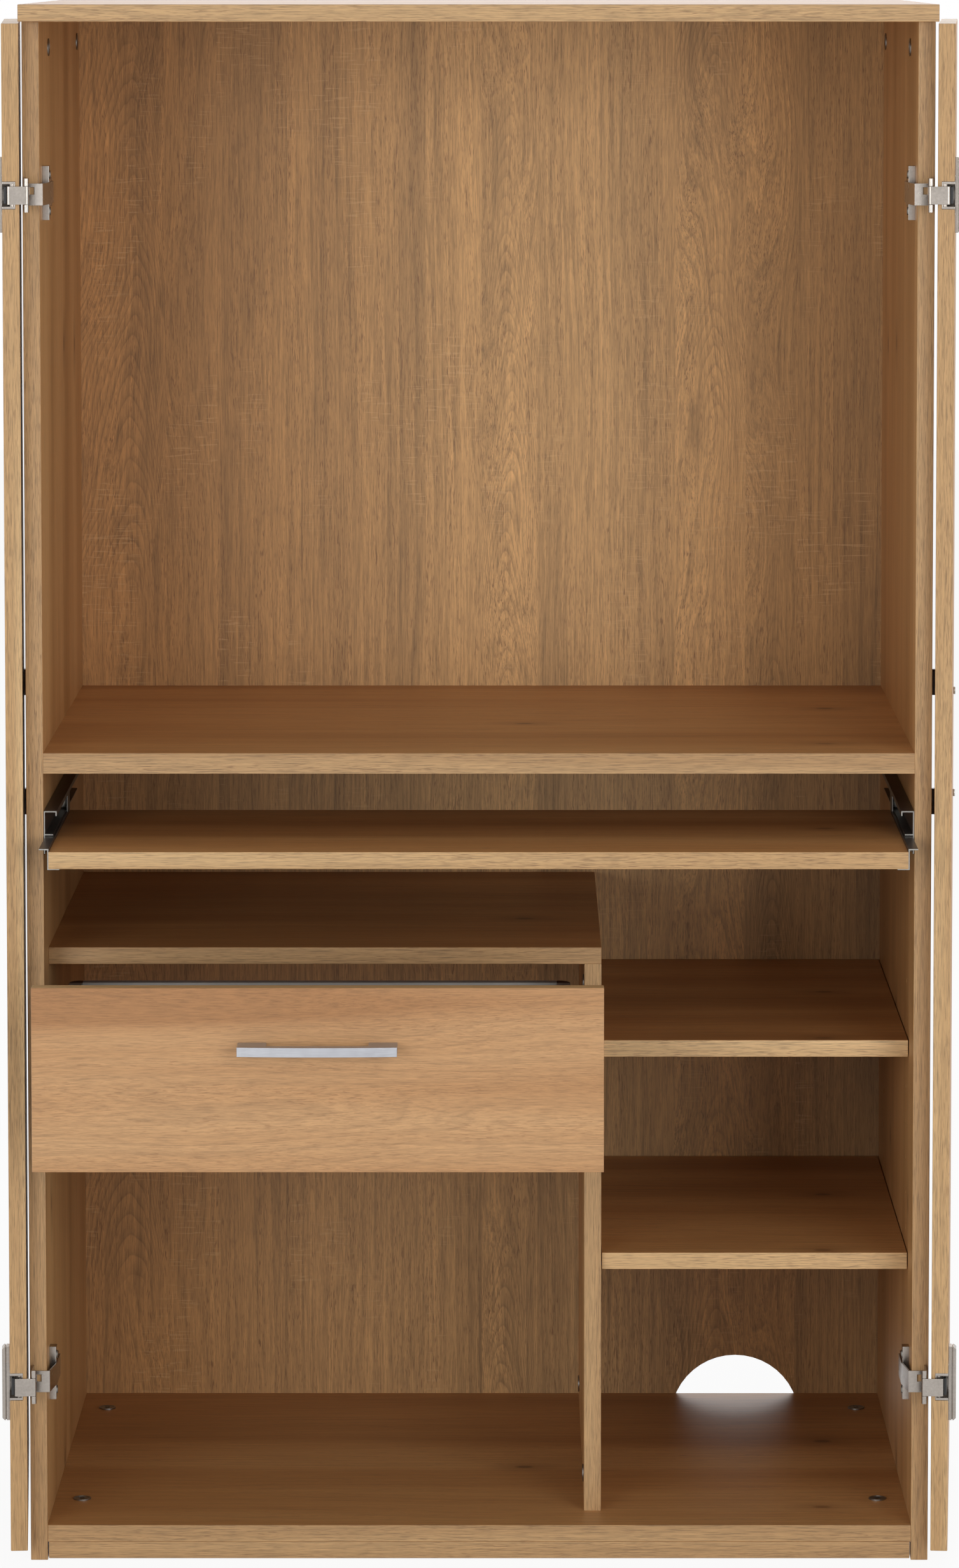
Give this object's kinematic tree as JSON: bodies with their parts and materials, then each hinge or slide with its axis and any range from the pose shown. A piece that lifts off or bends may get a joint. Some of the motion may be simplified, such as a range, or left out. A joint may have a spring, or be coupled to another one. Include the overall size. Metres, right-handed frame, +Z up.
{
  "type": "computer armoire",
  "caption": "Tall computer armoire with doors folded right back, desk board, sliding keyboard tray, drawer module, adjustable shelves and a cable hole.",
  "frame": {"origin": "on the floor, below the middle of the whole's width and depth as it stands with the doors folded back and the drawer and the tray drawn out", "axes": "+Z up, +Y from the open front to the back, +X to the right as seen from the front"},
  "size_m": [0.887, 0.6986, 1.378],
  "materials": {
    "oak_board": "satin oak-look melamine coating on chipboard",
    "back_sheet": "oak-look foil on hardboard, grain upright",
    "drawer_wrap": "light grey foil-wrapped board",
    "black_plastic": "moulded black plastic",
    "handle_metal": "satin silver",
    "plated_steel": "zinc plated",
    "hinge_nickel": "nickel plated",
    "slide_paint": "dark brown coated steel",
    "roller_plastic": "off-white nylon"
  },
  "bodies": {
    "cabinet": {"back_panel": "back_sheet", "bottom_board": "oak_board", "cam_bolts": "plated_steel", "cam_locks": "plated_steel", "desk_board": "oak_board", "divider_panel": "oak_board", "drawer_top_shelf": "oak_board", "hinge_mounting_plates": "hinge_nickel", "hinge_plate_screws": "plated_steel", "left_drawer_channel": "slide_paint", "left_lower_hinge_bracket": "hinge_nickel", "left_side_panel": "oak_board", "left_tray_channel": "slide_paint", "left_upper_hinge_bracket": "hinge_nickel", "lower_right_shelf": "oak_board", "plinth_rail": "oak_board", "right_drawer_channel": "slide_paint", "right_lower_hinge_bracket": "hinge_nickel", "right_side_panel": "oak_board", "right_tray_channel": "slide_paint", "right_upper_hinge_bracket": "hinge_nickel", "shelf_pins": "plated_steel", "top_board": "oak_board", "upper_right_shelf": "oak_board"},
    "left_door": {"left_door_handle": "handle_metal", "left_door_handle_screws": "plated_steel", "left_door_panel": "oak_board", "left_hinge_catches": "black_plastic", "left_hinge_leaves": "hinge_nickel", "left_lower_hinge_cup": "hinge_nickel", "left_upper_hinge_cup": "hinge_nickel"},
    "right_door": {"right_door_handle": "handle_metal", "right_door_handle_screws": "plated_steel", "right_door_panel": "oak_board", "right_hinge_catches": "black_plastic", "right_hinge_leaves": "hinge_nickel", "right_lower_hinge_cup": "hinge_nickel", "right_upper_hinge_cup": "hinge_nickel"},
    "drawer": {"drawer_front": "oak_board", "drawer_left_wall": "drawer_wrap", "drawer_right_wall": "drawer_wrap", "drawer_back_wall": "drawer_wrap", "drawer_bottom": "drawer_wrap", "drawer_corner_pieces": "black_plastic", "drawer_handle": "handle_metal", "drawer_handle_screws": "plated_steel", "left_drawer_rail": "slide_paint", "right_drawer_rail": "slide_paint"},
    "keyboard_tray": {"keyboard_tray_board": "oak_board", "left_tray_rail": "slide_paint", "right_tray_rail": "slide_paint"},
    "drawer_front_rollers": {"drawer_front_rollers": "roller_plastic"},
    "drawer_rear_rollers": {"drawer_rear_rollers": "roller_plastic"},
    "tray_front_rollers": {"tray_front_rollers": "roller_plastic"},
    "tray_rear_rollers": {"tray_rear_rollers": "roller_plastic"}
  },
  "joints": [
    {"name": "left_door_hinge", "type": "hinge", "parent": "cabinet", "child": "left_door", "pos_m": [-0.3929, -0.18275, 0.69], "axis": [0, 0, 1], "range_deg": [0, 118]},
    {"name": "right_door_hinge", "type": "hinge", "parent": "cabinet", "child": "right_door", "pos_m": [0.3929, -0.18275, 0.69], "axis": [0, 0, -1], "range_deg": [0, 118]},
    {"name": "drawer_slide", "type": "slide", "parent": "cabinet", "child": "drawer", "axis": [0, -1, 0], "range_m": [-0.1965, 0.045]},
    {"name": "keyboard_tray_slide", "type": "slide", "parent": "cabinet", "child": "keyboard_tray", "axis": [0, -1, 0], "range_m": [-0.083, 0.12]},
    {"name": "drawer_front_roller_spin", "type": "hinge", "parent": "cabinet", "child": "drawer_front_rollers", "pos_m": [0, -0.09375, 0.4058], "axis": [1, 0, 0], "continuous": true},
    {"name": "drawer_rear_roller_spin", "type": "hinge", "parent": "drawer", "child": "drawer_rear_rollers", "pos_m": [0, -0.02875, 0.4253], "axis": [1, 0, 0], "continuous": true},
    {"name": "tray_front_roller_spin", "type": "hinge", "parent": "cabinet", "child": "tray_front_rollers", "pos_m": [0, -0.14475, 0.6393], "axis": [1, 0, 0], "continuous": true},
    {"name": "tray_rear_roller_spin", "type": "hinge", "parent": "keyboard_tray", "child": "tray_rear_rollers", "pos_m": [0, 0.00825, 0.6588], "axis": [1, 0, 0], "continuous": true}
  ],
  "couplings": [
    {"joint": "drawer_front_roller_spin", "follows": "drawer_slide", "rad_per_m": 142.86},
    {"joint": "drawer_rear_roller_spin", "follows": "drawer_slide", "rad_per_m": 111.11},
    {"joint": "tray_front_roller_spin", "follows": "keyboard_tray_slide", "rad_per_m": 142.86},
    {"joint": "tray_rear_roller_spin", "follows": "keyboard_tray_slide", "rad_per_m": 111.11}
  ]
}
